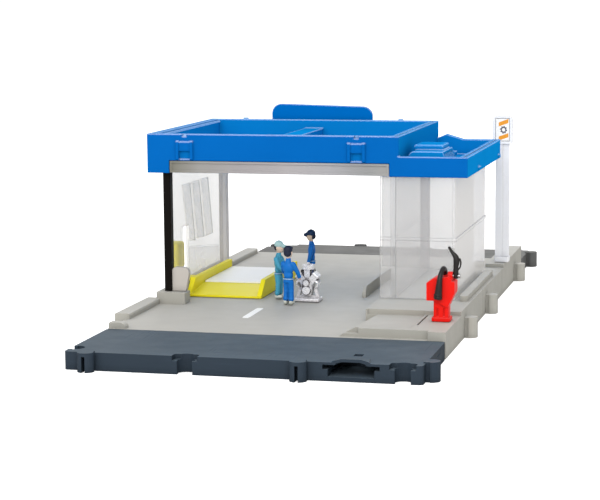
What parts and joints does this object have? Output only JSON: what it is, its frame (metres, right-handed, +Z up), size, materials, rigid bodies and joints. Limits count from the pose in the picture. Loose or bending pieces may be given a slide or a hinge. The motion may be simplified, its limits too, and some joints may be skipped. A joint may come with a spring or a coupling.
{
  "type": "toy garage",
  "caption": "Open toy car garage on a modular road base, with a blue tray roof, clear office, yellow car lift, fuel pump, road sign, mechanics and an engine on a stand.",
  "frame": {"origin": "centre of the footprint, on the table under the base", "axes": "+Z up, -Y towards the open front with the track mouth, +X towards the office and the pump"},
  "size_m": [0.189, 0.406, 0.113],
  "materials": {
    "deck": "fine satin moulding",
    "road": "fine satin moulding",
    "roof": "semi-gloss moulding",
    "clear": "clear styrene with mould haze",
    "black": "semi-gloss moulding",
    "post": "satin moulding",
    "header": "silver-grey print",
    "yellow": "semi-gloss moulding",
    "plate": "smooth moulding",
    "red": "gloss moulding",
    "hose": "soft moulding",
    "sign": "smooth moulding",
    "sign_print": "printed face, plain bands",
    "figure_blue": "painted moulding",
    "figure_teal": "painted moulding",
    "plated": "vacuum-plated silver",
    "stand": "satin moulding",
    "steel": "zinc-plated"
  },
  "bodies": {
    "base": {"base_deck": "deck", "front_road_strip": "road", "rear_road_strip": "road", "front_left_post": "black", "rear_left_post": "post", "rear_right_post": "post", "left_wall": "clear", "lane_bumper": "deck", "office_walls": "clear", "rear_pane": "clear", "roof": "roof", "header_panel": "header", "roof_sign_board": "roof", "rooftop_air_unit": "roof", "rooftop_duct": "roof", "pump_body": "red", "pump_hose": "hose", "nozzle_pin": "steel", "sign_post": "sign", "sign_face": "sign_print", "post_screw_1": "steel", "post_screw_2": "steel", "post_screw_3": "steel", "strip_screw_1": "steel", "strip_screw_2": "steel", "strip_screw_3": "steel", "strip_screw_4": "steel"},
    "lift": {"lift_tray": "yellow", "lift_plate": "plate", "lift_handle": "yellow"},
    "nozzle": {"fuel_nozzle": "black"},
    "mechanic_front": {"mechanic_front": "figure_blue"},
    "mechanic_left": {"mechanic_left": "figure_teal"},
    "mechanic_rear": {"mechanic_rear": "figure_blue"},
    "engine_on_stand": {"engine_stand": "stand", "engine": "plated"}
  },
  "joints": [
    {"name": "lift_slide", "type": "slide", "parent": "base", "child": "lift", "axis": [0, 0, 1], "range_m": [0, 0.028]},
    {"name": "nozzle_hinge", "type": "hinge", "parent": "base", "child": "nozzle", "pos_m": [0.0862, -0.102, 0.0369], "axis": [1, 0, 0], "range_deg": [0, 90]},
    {"name": "mechanic_front_lift_off", "type": "slide", "parent": "base", "child": "mechanic_front", "axis": [0, 0, 1], "range_m": [0, 0.03]},
    {"name": "mechanic_left_lift_off", "type": "slide", "parent": "base", "child": "mechanic_left", "axis": [0, 0, 1], "range_m": [0, 0.03]},
    {"name": "mechanic_rear_lift_off", "type": "slide", "parent": "base", "child": "mechanic_rear", "axis": [0, 0, 1], "range_m": [0, 0.03]},
    {"name": "engine_stand_lift_off", "type": "slide", "parent": "base", "child": "engine_on_stand", "axis": [0, 0, 1], "range_m": [0, 0.03]}
  ]
}
